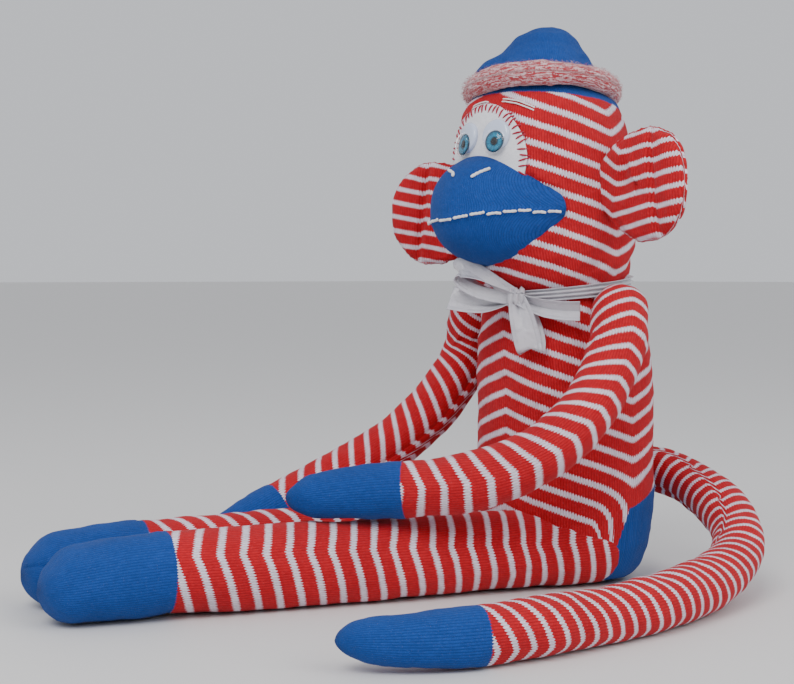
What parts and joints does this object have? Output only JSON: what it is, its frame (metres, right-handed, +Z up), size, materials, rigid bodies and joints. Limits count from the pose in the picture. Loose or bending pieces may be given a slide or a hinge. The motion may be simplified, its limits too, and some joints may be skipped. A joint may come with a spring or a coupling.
{
  "type": "stuffed monkey",
  "caption": "Stuffed monkey sewn from red and white striped socks with blue toes and heel, sitting with its legs out, with safety eyes, a felt eye patch, a knitted hat and a satin neck bow.",
  "frame": {"origin": "on the flat seat that the monkey sits on, 3 mm to its left of and 16 mm behind the upright axis of its body", "axes": "+Z up, -Y the way the body faces, +X towards the monkey's left side"},
  "size_m": [0.2504, 0.3335, 0.2752],
  "materials": {
    "striped_knit": "ribbed cotton knit, red and lavender-white stripes",
    "blue_knit": "fine ribbed cotton knit, heather blue",
    "wadding": "loose polyester wadding",
    "white_felt": "pressed felt",
    "satin_ribbon": "satin weave",
    "white_yarn": "twisted yarn",
    "red_thread": "twisted thread",
    "melange_knit": "brushed red and white marled knit",
    "eye_white": "glossy moulding",
    "eye_teal": "printed disc",
    "eye_black": "printed dot",
    "eye_lens": "clear moulded lens",
    "white_plastic": "moulded"
  },
  "bodies": {
    "torso": {"torso_cover": "striped_knit", "seat_heel": "blue_knit", "torso_stuffing": "wadding", "ribbon_band": "satin_ribbon", "bow_knot": "satin_ribbon", "bow_loop_left": "satin_ribbon", "bow_loop_right": "satin_ribbon", "bow_tail_left": "satin_ribbon", "bow_tail_right": "satin_ribbon"},
    "head": {"head_cover": "striped_knit", "head_crown": "blue_knit", "head_stuffing": "wadding", "muzzle_cover": "blue_knit", "muzzle_stuffing": "wadding", "mouth_stitches": "white_yarn", "nostril_stitches": "white_yarn", "eye_patch": "white_felt", "eye_patch_stitches": "red_thread", "eyebrow_stitches": "white_yarn", "hat_brim": "melange_knit", "hat_crown": "blue_knit", "eye_white_left": "eye_white", "eye_iris_left": "eye_teal", "eye_pupil_left": "eye_black", "eye_dome_left": "eye_lens", "eye_post_left": "white_plastic", "eye_washer_left": "white_plastic", "eye_white_right": "eye_white", "eye_iris_right": "eye_teal", "eye_pupil_right": "eye_black", "eye_dome_right": "eye_lens", "eye_post_right": "white_plastic", "eye_washer_right": "white_plastic"},
    "ear_left": {"ear_cover_left": "striped_knit", "ear_stuffing_left": "wadding"},
    "arm_left": {"arm_cover_left": "striped_knit", "hand_left": "blue_knit", "arm_stuffing_left": "wadding"},
    "leg_left": {"leg_cover_left": "striped_knit", "foot_left": "blue_knit", "leg_stuffing_left": "wadding"},
    "ear_right": {"ear_cover_right": "striped_knit", "ear_stuffing_right": "wadding"},
    "arm_right": {"arm_cover_right": "striped_knit", "hand_right": "blue_knit", "arm_stuffing_right": "wadding"},
    "leg_right": {"leg_cover_right": "striped_knit", "foot_right": "blue_knit", "leg_stuffing_right": "wadding"},
    "tail": {"tail_cover": "striped_knit", "tail_tip": "blue_knit", "tail_stuffing": "wadding"}
  },
  "joints": [
    {"name": "neck_turn", "type": "hinge", "parent": "torso", "child": "head", "pos_m": [-0.003, -0.025, 0.1455], "axis": [0, 0, 1], "range_deg": [-25, 25]},
    {"name": "shoulder_left", "type": "hinge", "parent": "torso", "child": "arm_left", "pos_m": [0.047, -0.03, 0.134], "axis": [-1, 0, 0], "range_deg": [0, 60]},
    {"name": "shoulder_right", "type": "hinge", "parent": "torso", "child": "arm_right", "pos_m": [-0.053, -0.03, 0.134], "axis": [-1, 0, 0], "range_deg": [0, 60]},
    {"name": "hip_left", "type": "hinge", "parent": "torso", "child": "leg_left", "pos_m": [0.01631, -0.02288, 0.0195], "axis": [0.9421, -0.3354, 0], "range_deg": [0, 30]},
    {"name": "hip_right", "type": "hinge", "parent": "torso", "child": "leg_right", "pos_m": [-0.02231, -0.00912, 0.0195], "axis": [0.9421, -0.3354, 0], "range_deg": [0, 30]},
    {"name": "tail_swing", "type": "hinge", "parent": "torso", "child": "tail", "pos_m": [-0.003, 0.03, 0.052], "axis": [0, 0, 1], "range_deg": [0, 80]},
    {"name": "ear_left_flop", "type": "hinge", "parent": "head", "child": "ear_left", "pos_m": [0.0398, -0.0343, 0.194], "axis": [0, 0, 1], "range_deg": [-12, 12]},
    {"name": "ear_right_flop", "type": "hinge", "parent": "head", "child": "ear_right", "pos_m": [-0.0465, -0.0297, 0.184], "axis": [0, 0, 1], "range_deg": [-12, 12]}
  ]
}
